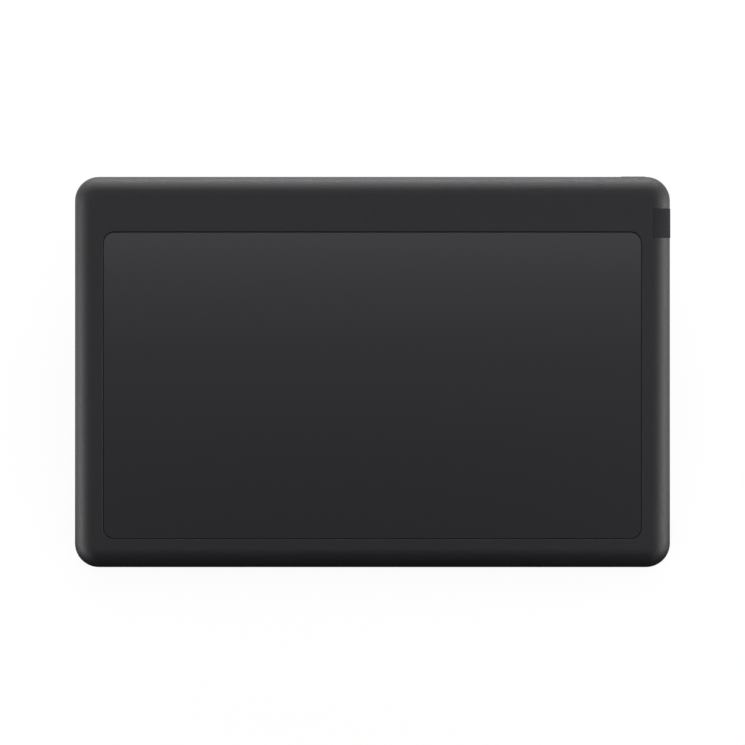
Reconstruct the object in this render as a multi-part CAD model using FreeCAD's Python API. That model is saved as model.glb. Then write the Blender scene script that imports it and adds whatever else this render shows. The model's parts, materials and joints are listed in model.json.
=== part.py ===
import FreeCAD, Part
import math
import os
from FreeCAD import Vector

# A pen display on two fold-out legs. All sizes are in millimetres.
#
# The pieces are drawn in the display's own frame: x to the right, y towards the top edge and
# z out of the glass, with the origin in the middle of the flat back. stand_on_desk() tilts
# each finished piece to the working angle and puts the feet on the desk, at z = 0.

# Case
case_width = 422.0
case_height = 276.8
case_depth = 22.0
corner_radius = 17.0
shoulder_radius = 12.7
wall = 2.0
bevel_run = 14.0
tilt = 19.0
lip_thickness = 0.9
lip_height = 1.5
lip_gap = 0.1
parting_gap = 0.2

# Glass, and the stack behind it from front to back
side_margin = 20.0
top_margin = 39.0
opening_radius = 8.5
glass_gap = 0.6
glass_recess = 0.3
glass_thickness = 1.1
glass_edge = 0.25
opening_edge = 0.25
ledge_overhang = 4.5
ledge_thickness = 1.5
ledge_wall = 3.0
bond_thickness = 0.3
cell_thickness = 1.2
film_thickness = 0.5
guide_thickness = 1.9
reflector_thickness = 0.3
tray_sheet = 0.4
sensor_thickness = 1.0
shield_thickness = 0.3
chassis_thickness = 1.6
cell_side_room = 10.5
cell_end_room = 4.4
tray_rim = 2.9
led_bar_width = 2.8
lamp_count = 44
lamp_length = 3.5
chassis_edge = 5.0
slip = 0.2

# Legs. The insets are measured from the side and from the top edge of the case.
leg_width = 56.0
leg_inset = 71.0
hinge_inset = 43.2
leg_clearance = 1.0
pocket_side_gap = 0.6
pocket_end_gap = 1.2
pocket_ceiling = 1.6
pocket_wall = 1.6
bracket_sheet = 1.5
bracket_lap = 5.0
bracket_screw_gap = 1.0
ear_width = 5.0
ear_gap = 0.5
pin_radius = 1.5
pin_running_gap = 0.05
pin_seat_gap = 0.02
stop_gap = 0.05
stop_width = 30.0
leg_skin = 2.4
leg_rib = 2.0
leg_corner = 5.0
leg_edge = 0.8
window_run = 12.0
spring_width = 12.0
spring_sheet = 0.35
spring_start = 0.5
spring_flat = 4.0
spring_nose = 1.0
scoop_width = 26.0
scoop_reach = 9.0
scoop_depth = 6.0

# Rubber feet
foot_proud = 1.6
foot_recess = 0.8
foot_gap = 0.15
front_foot_length = 64.0
front_foot_edge = 4.2
front_foot_flat = 8.0
front_foot_radius = 4.0
foot_edge = 0.5
leg_foot_depth = 6.0
leg_foot_wrap = 9.0

# Screws: radius of shank and head, and the holes that take them
shank_radius = 1.2
head_radius = 2.2
head_height = 1.6
thread_gap = 0.05
through_gap = 0.15
head_gap = 0.25
boss_wall = 1.8
screw_inset = 10.0
corner_screw_inset = (11.0, 15.2)
head_seat = 4.0
case_screw_length = 14.0
short_screw_length = 4.5
low_head = 1.1

# Threaded inserts for a stand
insert_pitch = 75.0
insert_y = -10.0
insert_radius = 2.8
insert_bore = 2.0
insert_length = 6.0
insert_groove = 0.3
insert_groove_width = 1.2

# Main board, its chips and its sockets
board_size = (150.0, 104.0)
board_inset = 79.2
board_thickness = 1.6
standoff_height = 3.0
standoff_radius = 2.6
standoff_inset = 6.0
chip_size = 18.0
chip_height = 1.6
socket_inset = 1.0
socket_depth = 5.0
socket_height = 1.6
socket_side = 2.0

# Cable port, in a bay on the back with a channel to the top edge
bay_gap = 1.0
bay_width = 48.0
bay_height = 40.0
bay_radius = 4.0
channel_width = 11.0
channel_depth = 8.5
port_width = 16.0
port_height = 5.2
port_length = 12.5
port_sheet = 0.5
port_back = 1.5
port_stand = 0.5
port_reach = 0.5
port_tab = (1.5, 3.0)
port_tab_inset = (2.0, 4.0)
tongue_thickness = 1.2

# Power button, on the top edge
button_inset = 26.0
button_length = 17.4
button_height = 3.0
button_proud = 0.3
button_gap = 0.15
button_travel = 0.5
button_flange = 1.2
button_lip = 1.6
stem_radius = 1.3
stem_length = 1.7
plunger_radius = 0.9
plunger_length = 1.8
plunger_gap = 0.1
switch_size = (6.0, 3.4, 3.4)
switch_board_size = (28.0, 1.2, 6.2)
switch_board_end = 1.0
post_size = 3.0
post_wall = 1.2
status_lamp_size = 1.6
status_lamp_height = 0.8
light_pipe_proud = 0.1
light_pipe_offset = 13.0
light_pipe_radius = 1.0
light_pipe_gap = 0.05
collar_length = 1.2
collar_radius = 1.7

# Pen loop: a flat loop of webbing that comes out of a slot and lies on the right shoulder
loop_width = 20.6
loop_inset = 33.0
loop_thickness = 1.1
loop_proud = 0.3
loop_gap = 0.1
loop_sweep = 86.0
loop_slot_height = 2.4
loop_slot_drop = 0.3
loop_tail = 3.4
anchor_size = (3.0, 24.6, 3.6)

# Spare nibs, kept above the left leg
nib_radius = 0.8
nib_length = 16.0
nib_pitch = 5.0
nib_count = 3
nib_holder_size = (46.0, 22.0)
nib_holder_radius = 2.0
nib_flange = 3.0
nib_flange_thickness = 0.8
nib_gap = 0.05
ring_outer = 5.0
ring_inner = 2.2
ring_height = 1.2

# Flat cables
cable_thickness = 0.25
display_cable_width = 24.0
sensor_cable_width = 18.0
cable_spacing = 56.0
cable_drop = 1.3
cable_under = 0.5
cable_turn = 3.0
cable_slot_room = 1.0

# Places that follow from those sizes
half_width = case_width / 2
half_height = case_height / 2
parting_z = case_depth - shoulder_radius
slope = math.tan(math.radians(tilt))
bevel_rise = bevel_run * slope
case_x = (-half_width, half_width)
case_y = (-half_height, half_height)
opening_x = (-half_width + side_margin, half_width - side_margin)
opening_y = (-half_height + side_margin, half_height - top_margin)
cell_side = ledge_overhang + cell_side_room
cell_end = ledge_overhang + cell_end_room
cell_x = (opening_x[0] + cell_side, opening_x[1] - cell_side)
cell_y = (opening_y[0] + cell_end, opening_y[1] - cell_end)
leg_spacing = case_width - 2 * leg_inset
hinge_y = half_height - hinge_inset
button_x = half_width - button_inset
loop_y = half_height - loop_inset
board_top_y = half_height - board_inset

glass_top = case_depth - glass_recess
glass_back = glass_top - glass_thickness
seat_z = glass_back - bond_thickness
cell_back = seat_z - cell_thickness
film_back = cell_back - film_thickness
guide_back = film_back - guide_thickness
reflector_back = guide_back - reflector_thickness
tray_back = reflector_back - tray_sheet
sensor_back = tray_back - sensor_thickness
shield_back = sensor_back - shield_thickness
chassis_back = shield_back - chassis_thickness
bracket_back = chassis_back - bracket_sheet
ceiling_z = bracket_back - pocket_ceiling

leg_thickness = ceiling_z - leg_clearance
barrel_radius = leg_thickness / 2
hinge_z = barrel_radius
desk_level = (-half_height + bevel_run) * math.sin(math.radians(tilt)) - foot_proud
hinge_height = (
    hinge_y * math.sin(math.radians(tilt)) + hinge_z * math.cos(math.radians(tilt)) - desk_level
)
leg_reach = hinge_height / math.cos(math.radians(tilt))
tip_reach = leg_reach + (barrel_radius + foot_proud) * slope
pocket_y = (hinge_y - tip_reach - pocket_end_gap, hinge_y + barrel_radius + stop_gap + bracket_sheet)

board_top = chassis_back - standoff_height
board_back = board_top - board_thickness
board_x = (-board_size[0] / 2, board_size[0] / 2)
board_y = (board_top_y - board_size[1], board_top_y)
bay_low = board_top_y + wall + bay_gap
bay_y = (bay_low, bay_low + bay_height)
port_top = board_back - port_stand
port_end = bay_low + port_reach
button_z = (bevel_rise + parting_z) / 2
loop_slot_z = (bevel_rise + parting_z) / 2 - loop_slot_drop
cable_y = cell_y[0] - cable_drop
socket_z = board_top + socket_height / 2

SIDES = (("left", -1), ("right", 1))
FLAT_CABLES = (
    (-cable_spacing / 2, display_cable_width),
    (cable_spacing / 2, sensor_cable_width),
)


def around(middle, size):
    """Range of the given size about its middle."""
    return (middle - size / 2, middle + size / 2)


def inset(span, distance):
    """Range drawn in at both ends."""
    return (span[0] + distance, span[1] - distance)


def block(x_span, y_span, z_span):
    """Rectangular block between three pairs of limits."""
    corner = Vector(x_span[0], y_span[0], z_span[0])
    return Part.makeBox(x_span[1] - x_span[0], y_span[1] - y_span[0], z_span[1] - z_span[0], corner)


def rounded_outline(x_span, y_span, radius, z):
    """Level rectangle with round corners, as a closed wire."""
    corners = (
        (x_span[1] - radius, y_span[0] + radius, -90),
        (x_span[1] - radius, y_span[1] - radius, 0),
        (x_span[0] + radius, y_span[1] - radius, 90),
        (x_span[0] + radius, y_span[0] + radius, 180),
    )
    arcs = []
    for x, y, start in corners:
        turns = [math.radians(start + step) for step in (0, 45, 90)]
        points = [Vector(x + radius * math.cos(a), y + radius * math.sin(a), z) for a in turns]
        arcs.append(points)
    edges = []
    for index, points in enumerate(arcs):
        following = arcs[(index + 1) % len(arcs)]
        edges.append(Part.Arc(*points).toShape())
        edges.append(Part.LineSegment(points[2], following[0]).toShape())
    return Part.Wire(edges)


def rounded_block(x_span, y_span, radius, z_span):
    """Upright block with round corners."""
    face = Part.Face(rounded_outline(x_span, y_span, radius, z_span[0]))
    return face.extrude(Vector(0, 0, z_span[1] - z_span[0]))


def frame(x_span, y_span, radius, width, z_span):
    """Flat frame with round corners and an even width."""
    outer = rounded_block(x_span, y_span, radius, z_span)
    inner_radius = max(radius - width, 0.5)
    return outer.cut(rounded_block(inset(x_span, width), inset(y_span, width), inner_radius, z_span))


def side_profile(points, x_span):
    """Prism along x whose section is given by (y, z) points."""
    corners = [Vector(x_span[0], y, z) for y, z in points]
    face = Part.Face(Part.makePolygon(corners + corners[:1]))
    return face.extrude(Vector(x_span[1] - x_span[0], 0, 0))


def post(x, y, z_span, radius):
    """Upright cylinder."""
    return Part.makeCylinder(radius, z_span[1] - z_span[0], Vector(x, y, z_span[0]))


def rod_x(x_span, y, z, radius):
    """Cylinder along x."""
    return Part.makeCylinder(radius, x_span[1] - x_span[0], Vector(x_span[0], y, z), Vector(1, 0, 0))


def rod_y(x, y_span, z, radius):
    """Cylinder along y."""
    return Part.makeCylinder(radius, y_span[1] - y_span[0], Vector(x, y_span[0], z), Vector(0, 1, 0))


def level_edges(shape, z):
    """Edges that lie in the plane at height z."""
    return [e for e in shape.Edges if all(abs(v.Z - z) < 1e-6 for v in e.Vertexes)]


def joined(shapes):
    """One solid from several that touch or overlap."""
    return shapes[0].multiFuse(shapes[1:]).removeSplitter() if len(shapes) > 1 else shapes[0]


def corner_at(distance):
    """Corner radius of the case outline drawn in by a distance."""
    return max(corner_radius - distance, 1.0)


def case_block(distance, z_span):
    """Upright block with the case outline drawn in by a distance."""
    return rounded_block(
        inset(case_x, distance), inset(case_y, distance), corner_at(distance), z_span
    )


def bevelled_block(low_inset, low_z, high_inset, high_z):
    """Block that widens from low_z to high_z, as the back of the case does."""
    outlines = [
        rounded_outline(inset(case_x, run), inset(case_y, run), corner_at(run), z)
        for run, z in ((low_inset, low_z), (high_inset, high_z))
    ]
    return Part.makeLoft(outlines, True, True)


def shouldered_block(distance, low_z):
    """Upper block of the case, with its round shoulder, drawn in by a distance."""
    top = case_depth - distance
    blank = case_block(distance, (low_z, top))
    return blank.makeFillet(shoulder_radius - distance, level_edges(blank, top))


def case_envelope():
    """The whole outer form of the case."""
    lower = bevelled_block(bevel_run, 0, 0, bevel_rise)
    middle = case_block(0, (bevel_rise, parting_z - 1))
    upper = shouldered_block(0, parting_z - 1)
    return lower.fuse(middle).fuse(upper)


def case_screw_places():
    """Screws that clamp the rear cover, chassis and front cover together."""
    corner_x = half_width - corner_screw_inset[0]
    corner_y = half_height - corner_screw_inset[1]
    edge_x = half_width - screw_inset
    edge_y = half_height - screw_inset
    inner_x = half_width * 0.3
    places = [(sx * corner_x, sy * corner_y) for sx in (-1, 1) for sy in (-1, 1)]
    places += [(sx * edge_x, 0) for sx in (-1, 1)]
    places += [(sx * inner_x, sy * edge_y) for sx in (-1, 1) for sy in (-1, 1)]
    return places


def chassis_screw_places():
    """Screws that hold the chassis in the front cover."""
    edge_x = half_width - screw_inset
    edge_y = half_height - screw_inset
    middle_x = half_width * 0.6
    places = [(sx * edge_x, sy * half_height * 0.45) for sx in (-1, 1) for sy in (-1, 1)]
    places += [(sx * middle_x, sy * edge_y) for sx in (-1, 1) for sy in (-1, 1)]
    return places


def bracket_screw_places():
    """Four screws for each hinge bracket."""
    rows = (
        hinge_y - window_run + 2 * shank_radius + bracket_screw_gap,
        pocket_y[1] + pocket_wall + head_radius + bracket_screw_gap,
    )
    return [
        (side * leg_spacing / 2 + offset * leg_width / 3, y)
        for _, side in SIDES
        for offset in (-1, 1)
        for y in rows
    ]


def standoff_places():
    """Where the main board is carried."""
    xs = inset(board_x, standoff_inset)
    ys = inset(board_y, standoff_inset)
    return [(x, y) for x in xs for y in ys]


def insert_places():
    """Square of threaded inserts."""
    half = insert_pitch / 2
    return [(sx * half, insert_y + sy * half) for sx in (-1, 1) for sy in (-1, 1)]


def socket_recess(x, y, z):
    """Hexagonal driver recess that opens downwards at z."""
    across = head_radius * 0.5
    turns = [math.radians(60 * k) for k in range(6)]
    corners = [Vector(x + across * math.cos(a), y + across * math.sin(a), z) for a in turns]
    face = Part.Face(Part.makePolygon(corners + corners[:1]))
    return face.extrude(Vector(0, 0, low_head * 0.7))


def screw(x, y, seat, length, height):
    """Screw driven upwards from the back, its head under the seat."""
    head = post(x, y, (seat - height, seat), head_radius)
    shank = post(x, y, (seat, seat + length), shank_radius)
    return head.fuse(shank).removeSplitter().cut(socket_recess(x, y, seat - height))


def front_cover():
    """Front shell with the round shoulder, the glass seat and the screw bosses."""
    shell = shouldered_block(0, parting_z - 1).cut(shouldered_block(wall, parting_z - 2))
    shell = shell.cut(case_block(-1, (parting_z - 2, parting_z)))
    surround = rounded_block(
        inset(opening_x, -ledge_wall),
        inset(opening_y, -ledge_wall),
        opening_radius + ledge_wall,
        (seat_z - ledge_thickness, case_depth - wall / 2),
    )
    parts = [shell, surround]
    boss_radius = shank_radius + boss_wall
    for x, y in case_screw_places() + chassis_screw_places():
        parts.append(post(x, y, (shield_back, case_depth - wall), boss_radius))
    cover = joined(parts)
    cover = cover.cut(rounded_block(opening_x, opening_y, opening_radius, (seat_z, case_depth + 1)))
    cover = cover.cut(opening_bevel())
    cover = cover.cut(
        rounded_block(
            inset(opening_x, ledge_overhang),
            inset(opening_y, ledge_overhang),
            max(opening_radius - ledge_overhang, 1.0),
            (parting_z, seat_z),
        )
    )
    holes = [
        post(x, y, (shield_back - 1, case_depth - wall - 1), shank_radius + thread_gap)
        for x, y in case_screw_places() + chassis_screw_places()
    ]
    cover = cover.cut(Part.makeCompound(holes))
    return cover.cut(lip_groove()).cut(loop_groove())


def opening_bevel():
    """Cutter for the fine bevel round the glass opening's front edge."""
    outlines = [
        rounded_outline(inset(opening_x, -run), inset(opening_y, -run), opening_radius + run, z)
        for run, z in ((0, case_depth - opening_edge), (2 * opening_edge, case_depth + opening_edge))
    ]
    return Part.makeLoft(outlines, True, True)


def lip_groove():
    """Room in the front cover's rim for the rear cover's lip."""
    depth = wall - lip_thickness - lip_gap
    ring = case_block(depth, (parting_z - 1, parting_z + lip_height + lip_gap))
    return ring.cut(loop_relief())


def loop_relief():
    """Stretch of the right rim where the lip stops for the pen loop."""
    margin = 2.0
    x_span = (half_width - corner_radius, half_width + 1)
    y_span = around(loop_y, loop_width + 2 * margin)
    return block(x_span, y_span, (parting_z - 1, case_depth))


def rear_lip():
    """Upright lip inside the rear cover's rim."""
    outer = wall - lip_thickness
    z_span = (parting_z - 1, parting_z + lip_height)
    ring = case_block(outer, z_span).cut(case_block(wall, z_span))
    return ring.cut(loop_relief())


def tub(x_span, y_span, depth, skin):
    """Closed block that a hollow of the given depth is cut into."""
    return rounded_block(
        inset(x_span, -skin), inset(y_span, -skin), skin, (0, depth + pocket_ceiling)
    )


def pocket_x(side):
    """Width of a leg pocket."""
    return around(side * leg_spacing / 2, leg_width + 2 * pocket_side_gap)


def scoop_y():
    """Finger scoop beyond the free end of a folded leg."""
    return (pocket_y[0] - scoop_reach, pocket_y[0] + 2 * leg_corner)


def window_y():
    """Opening in the pocket ceiling that the hinge works in."""
    return (hinge_y - window_run, pocket_y[1])


def rear_features():
    """Everything that rises inside the rear cover."""
    parts = []
    for _, side in SIDES:
        parts.append(tub(pocket_x(side), pocket_y, ceiling_z, pocket_wall))
        scoop_x = around(side * leg_spacing / 2, scoop_width)
        parts.append(tub(scoop_x, scoop_y(), scoop_depth, pocket_wall))
    bay_x = around(0, bay_width)
    parts.append(tub(bay_x, bay_y, ceiling_z, wall))
    channel_x = around(0, channel_width + 2 * wall)
    channel_end = half_height - wall - lip_gap
    parts.append(block(channel_x, (bay_y[1], channel_end), (0, channel_depth + pocket_ceiling)))
    for x, y in case_screw_places():
        parts.append(post(x, y, (0, chassis_back), head_radius + head_gap + boss_wall))
    for x, y in insert_places():
        parts.append(post(x, y, (0, insert_length + wall), insert_radius + boss_wall))
    parts += switch_board_posts()
    return parts


def switch_board_posts():
    """Two slotted posts that hold the switch board upright."""
    thickness = switch_board_size[1]
    y_mid = switch_board_y()[0] + thickness / 2
    posts = []
    for end in (-1, 1):
        x = switch_board_x()[0 if end < 0 else 1]
        solid = block(around(x, post_size), around(y_mid, thickness + 2 * post_wall), (0, parting_z))
        slot = block(
            around(x - end * post_size / 2, post_size + 2 * slip),
            around(y_mid, thickness + slip),
            (switch_board_z()[0], parting_z + 1),
        )
        posts.append(solid.cut(slot))
    return posts


def switch_board_x():
    length = switch_board_size[0]
    end = button_x + button_length / 2 + switch_board_end
    return (end - length, end)


def switch_front_y():
    """Face of the switch that the button's plunger enters."""
    return half_height - wall - button_flange - stem_length - plunger_length / 2 + button_gap


def switch_board_y():
    back = switch_front_y() - switch_size[1]
    return (back - switch_board_size[1], back)


def switch_board_z():
    return around(button_z, switch_board_size[2])


def stadium_y(x_span, z_mid, height, y_span):
    """Bar along y whose section is a flat oval."""
    radius = height / 2
    ends = [rod_y(x, y_span, z_mid, radius) for x in (x_span[0] + radius, x_span[1] - radius)]
    middle = block(
        (x_span[0] + radius, x_span[1] - radius), y_span, (z_mid - radius, z_mid + radius)
    )
    return joined([middle] + ends)


def rear_cutters():
    """Everything that is open in the rear cover."""
    cuts = []
    for _, side in SIDES:
        x_span = pocket_x(side)
        cuts.append(rounded_block(x_span, pocket_y, leg_corner, (-1, ceiling_z)))
        cuts.append(block(x_span, (hinge_y, pocket_y[1]), (-1, ceiling_z)))
        cuts.append(block(x_span, window_y(), (leg_thickness, bracket_back + 1)))
        scoop_x = around(side * leg_spacing / 2, scoop_width)
        cuts.append(rounded_block(scoop_x, scoop_y(), leg_corner, (-1, scoop_depth)))
    cuts.append(nib_window())
    cuts.append(rounded_block(around(0, bay_width), bay_y, bay_radius, (-1, ceiling_z)))
    cuts.append(
        block(around(0, channel_width), (bay_y[1] - 1, half_height + 1), (-1, channel_depth))
    )
    port_x = around(0, port_width + 2 * slip)
    port_z = (port_top - port_height - slip, port_top + slip)
    cuts.append(block(port_x, (bay_y[0] - 2 * wall, bay_y[0] + 1), port_z))
    for x, y in case_screw_places():
        cuts.append(post(x, y, (-1, head_seat), head_radius + head_gap))
        cuts.append(post(x, y, (head_seat, chassis_back + 1), shank_radius + through_gap))
    for x, y in insert_places():
        cuts.append(post(x, y, (-1, insert_length), insert_radius))
    hole_x = around(button_x, button_length + 2 * button_gap)
    cuts.append(
        stadium_y(
            hole_x, button_z, button_height + 2 * button_gap, (half_height - 2 * wall, half_height + 1)
        )
    )
    pipe_x = button_x - light_pipe_offset
    pipe_y = (half_height - 2 * wall, half_height + 1)
    cuts.append(rod_y(pipe_x, pipe_y, button_z, light_pipe_radius + light_pipe_gap))
    cuts += button_reliefs()
    for _, side in SIDES:
        cuts.append(front_foot_form(side, foot_gap))
    cuts.append(
        block(
            (half_width - 3 * wall, half_width + 1),
            around(loop_y, loop_width + 2 * loop_gap),
            around(loop_slot_z, loop_slot_height),
        )
    )
    cuts.append(anchor_form(loop_gap))
    return cuts


def button_reliefs():
    """Room inside the bevel for the button's flange and the light pipe's collar."""
    inner_face = half_height - wall
    flange = block(
        around(button_x, button_length + button_lip + 4 * button_gap),
        (inner_face - button_flange - button_travel - 2 * button_gap, inner_face),
        (button_z - button_height / 2 - button_lip / 4 - button_gap, parting_z + lip_height + 1),
    )
    pipe_x = button_x - light_pipe_offset
    collar_y = (inner_face - collar_length - light_pipe_gap, inner_face)
    collar = rod_y(pipe_x, collar_y, button_z, collar_radius + light_pipe_gap)
    return [flange, collar]


def rear_cover():
    """Rear shell: bevelled back with the leg pockets, the cable bay and its bosses."""
    outer = bevelled_block(bevel_run, 0, 0, bevel_rise)
    outer = outer.fuse(case_block(0, (bevel_rise, parting_z - parting_gap)))
    corner_shift = wall * math.tan(math.radians(tilt) / 2)
    side_z = bevel_rise - wall * slope + wall / math.cos(math.radians(tilt))
    cavity = bevelled_block(bevel_run + corner_shift, wall, wall, side_z)
    cavity = cavity.fuse(case_block(wall, (side_z, parting_z + 1)))
    shell = outer.cut(cavity)
    envelope = case_envelope()
    inside = [feature.common(envelope) for feature in rear_features()]
    cover = joined([shell, rear_lip()] + inside)
    for cutter in rear_cutters():
        cover = cover.cut(cutter)
    return cover.cut(loop_groove())


def cover_glass():
    """Cover glass with a fine chamfer on its front edge."""
    glass = rounded_block(
        inset(opening_x, glass_gap),
        inset(opening_y, glass_gap),
        opening_radius - glass_gap,
        (glass_back, glass_top),
    )
    return glass.makeChamfer(glass_edge, level_edges(glass, glass_top))


def glass_seal():
    """Adhesive frame between the glass and its ledge."""
    return frame(
        inset(opening_x, 2 * glass_gap),
        inset(opening_y, 2 * glass_gap),
        opening_radius - 2 * glass_gap,
        ledge_overhang - 2 * glass_gap,
        (seat_z, glass_back),
    )


def display_sheet(margin, z_span):
    """Plain layer of the display, smaller than the cell by a margin all round."""
    return block(inset(cell_x, margin), inset(cell_y, margin), z_span)


def light_guide():
    """Clear plate that leaves room for the lamp strip at its lower edge."""
    plate = display_sheet(slip, (guide_back, film_back))
    lamp_room_y = (cell_y[0] - 1, cell_y[0] + led_bar_width + 2 * slip)
    return plate.cut(block(cell_x, lamp_room_y, (guide_back - 1, film_back + 1)))


def led_bar():
    """Strip of lamps along the lower edge of the light guide."""
    low = cell_y[0] + slip
    high = low + led_bar_width
    base_top = guide_back + guide_thickness * 0.3
    x_span = inset(cell_x, 2 * slip)
    pitch = (x_span[1] - x_span[0]) / lamp_count
    parts = [block(x_span, (low, high), (guide_back, base_top))]
    for index in range(lamp_count):
        x = x_span[0] + (index + 0.5) * pitch
        lamp_y = (low + led_bar_width / 3, high)
        parts.append(block(around(x, lamp_length), lamp_y, (base_top, film_back - slip)))
    return joined(parts)


def backlight_tray():
    """Folded metal tray round the backlight, open where the display cable leaves."""
    x_span = inset(cell_x, -tray_rim)
    y_span = inset(cell_y, -tray_rim)
    tray = block(x_span, y_span, (tray_back, cell_back))
    hollow_z = (reflector_back, cell_back + 1)
    tray = tray.cut(block(inset(x_span, tray_sheet), inset(y_span, tray_sheet), hollow_z))
    slot = block(
        around(-cable_spacing / 2, display_cable_width + 2 * cable_slot_room),
        around(cable_y, 4 * cable_thickness),
        (tray_back - 1, reflector_back + 1),
    )
    return tray.cut(slot)


def pen_sensor_board():
    """Antenna board that finds the pen."""
    return display_sheet(0, (sensor_back, tray_back))


def chassis():
    """Metal plate between the display and the electronics."""
    parts = [case_block(chassis_edge, (chassis_back, shield_back))]
    for x, y in standoff_places():
        parts.append(post(x, y, (board_top, chassis_back), standoff_radius))
    solid = joined(parts)
    cuts = []
    for x, y in case_screw_places() + chassis_screw_places():
        cuts.append(post(x, y, (chassis_back - 1, shield_back + 1), shank_radius + through_gap))
    for x, y in bracket_screw_places():
        cuts.append(post(x, y, (chassis_back - 1, shield_back + 1), shank_radius + thread_gap))
    for x, y in standoff_places():
        cuts.append(post(x, y, (board_top - 1, shield_back + 1), shank_radius + thread_gap))
    slot_y = around(cable_y, cable_thickness + 2 * cable_slot_room)
    for centre, width in FLAT_CABLES:
        slot_x = around(centre, width + 2 * cable_slot_room)
        cuts.append(block(slot_x, slot_y, (chassis_back - 1, shield_back + 1)))
    return solid.cut(Part.makeCompound(cuts))


def main_board():
    """Circuit board under the chassis."""
    board = block(board_x, board_y, (board_back, board_top))
    holes = [
        post(x, y, (board_back - 1, board_top + 1), shank_radius + through_gap)
        for x, y in standoff_places()
    ]
    return board.cut(Part.makeCompound(holes))


def board_chips():
    """Chips on the lower face of the main board, placed and sized as shares of it."""
    shares = (
        (0.25, 0.35, 1.0),
        (0.41, 0.64, 0.75),
        (0.73, 0.43, 0.9),
        (0.59, 0.76, 0.55),
        (0.87, 0.76, 0.5),
    )
    chips = []
    for across, along, share in shares:
        x_span = around(board_x[0] + across * board_size[0], share * chip_size)
        y_span = around(board_y[0] + along * board_size[1], share * chip_size)
        chips.append(block(x_span, y_span, (board_back - share * chip_height, board_back)))
    return Part.makeCompound(chips)


def board_sockets():
    """Sockets on the upper face of the main board for the two flat cables."""
    front = board_y[0] + socket_inset
    sockets = []
    for centre, width in FLAT_CABLES:
        body_x = around(centre, width + 2 * socket_side)
        body = block(body_x, (front, front + socket_depth), (board_top, board_top + socket_height))
        mouth_y = (board_y[0], front + socket_depth * 0.7)
        mouth = block(around(centre, width + slip), mouth_y, around(socket_z, cable_thickness + slip))
        sockets.append(body.cut(mouth))
    return Part.makeCompound(sockets)


def flat_cable(route, x_span):
    """Flat cable along square (y, z) turns."""
    half = cable_thickness / 2
    runs = []
    for (y0, z0), (y1, z1) in zip(route, route[1:]):
        y_span = (min(y0, y1) - half, max(y0, y1) + half)
        z_span = (min(z0, z1) - half, max(z0, z1) + half)
        runs.append(block(x_span, y_span, z_span))
    return joined(runs)


def cable_route(start_z):
    """Way from a layer's lower edge, through the chassis, to the main board."""
    under = chassis_back - cable_under
    turn_y = board_y[0] - cable_turn
    return (
        (cell_y[0] - cable_thickness / 2, start_z),
        (cable_y, start_z),
        (cable_y, under),
        (turn_y, under),
        (turn_y, socket_z),
        (board_y[0] + socket_inset + socket_depth * 0.6, socket_z),
    )


def display_cable():
    route = cable_route((seat_z + cell_back) / 2)
    return flat_cable(route, around(-cable_spacing / 2, display_cable_width))


def sensor_cable():
    route = cable_route((tray_back + sensor_back) / 2)
    return flat_cable(route, around(cable_spacing / 2, sensor_cable_width))


def cable_port_shell():
    """Metal shell of the port, open towards the bay."""
    x_span = around(0, port_width)
    y_span = (port_end - port_length, port_end)
    z_span = (port_top - port_height, port_top)
    shell = block(x_span, y_span, z_span)
    hollow_y = (y_span[0] + port_back, y_span[1] + 1)
    hollow = block(inset(x_span, port_sheet), hollow_y, inset(z_span, port_sheet))
    tab_y = around(y_span[0] + port_tab_inset[1], port_tab[1])
    tabs = [
        block(around(x, port_tab[0]), tab_y, (port_top - port_sheet, board_back))
        for x in inset(x_span, port_tab_inset[0])
    ]
    return joined([shell] + tabs).cut(hollow)


def cable_port_tongue():
    """Contact tongue inside the port."""
    back = port_end - port_length + port_back
    tongue_x = around(0, port_width - 4 * port_sheet)
    tongue_z = around(port_top - port_height / 2, tongue_thickness)
    tongue = block(tongue_x, (back, port_end - port_back), tongue_z)
    root = block(
        inset(around(0, port_width), port_sheet),
        (back, back + 4 * port_sheet),
        inset((port_top - port_height, port_top), port_sheet),
    )
    return joined([tongue, root])


def stand_inserts():
    """Brass threaded inserts, at the thread's nominal size."""
    inserts = []
    for x, y in insert_places():
        sleeve = post(x, y, (0, insert_length), insert_radius)
        sleeve = sleeve.cut(post(x, y, (-1, insert_length + 1), insert_bore))
        groove_z = around(insert_length / 2, insert_groove_width)
        groove = post(x, y, groove_z, insert_radius + 1)
        groove = groove.cut(post(x, y, groove_z, insert_radius - insert_groove))
        inserts.append(sleeve.cut(groove))
    return Part.makeCompound(inserts)


def power_button():
    """Button cap with the inner flange that keeps it in the case, and its stem."""
    inner_face = half_height - wall
    face_y = half_height + button_proud
    cap = stadium_y(around(button_x, button_length), button_z, button_height, (inner_face, face_y))
    front = [e for e in cap.Edges if all(abs(v.Y - face_y) < 1e-6 for v in e.Vertexes)]
    cap = cap.makeFillet(button_proud * 0.8, front)
    flange = block(
        around(button_x, button_length + button_lip),
        (inner_face - button_flange, inner_face),
        around(button_z, button_height + button_lip / 2),
    )
    stem = rod_y(button_x, (inner_face - button_flange - stem_length, inner_face), button_z, stem_radius)
    return joined([cap, flange, stem])


def switch_plunger():
    """Plunger of the switch, which moves with the button."""
    start = half_height - wall - button_flange - stem_length
    return rod_y(button_x, (start - plunger_length, start), button_z, plunger_radius)


def power_switch():
    """Small switch on its board, with a bore for the plunger."""
    front = switch_front_y()
    width, reach, height = switch_size
    housing = block(around(button_x, width), (front - reach, front), around(button_z, height))
    depth = plunger_length / 2 + button_gap + button_travel + plunger_gap
    return housing.cut(rod_y(button_x, (front - depth, front + 1), button_z, plunger_radius + plunger_gap))


def switch_board():
    """Upright circuit board for the switch and the status lamp."""
    return block(switch_board_x(), switch_board_y(), switch_board_z())


def status_lamp():
    """Lamp on the switch board, behind the light pipe."""
    back = switch_board_y()[1]
    x_span = around(button_x - light_pipe_offset, status_lamp_size)
    return block(x_span, (back, back + status_lamp_height), around(button_z, status_lamp_size))


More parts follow.
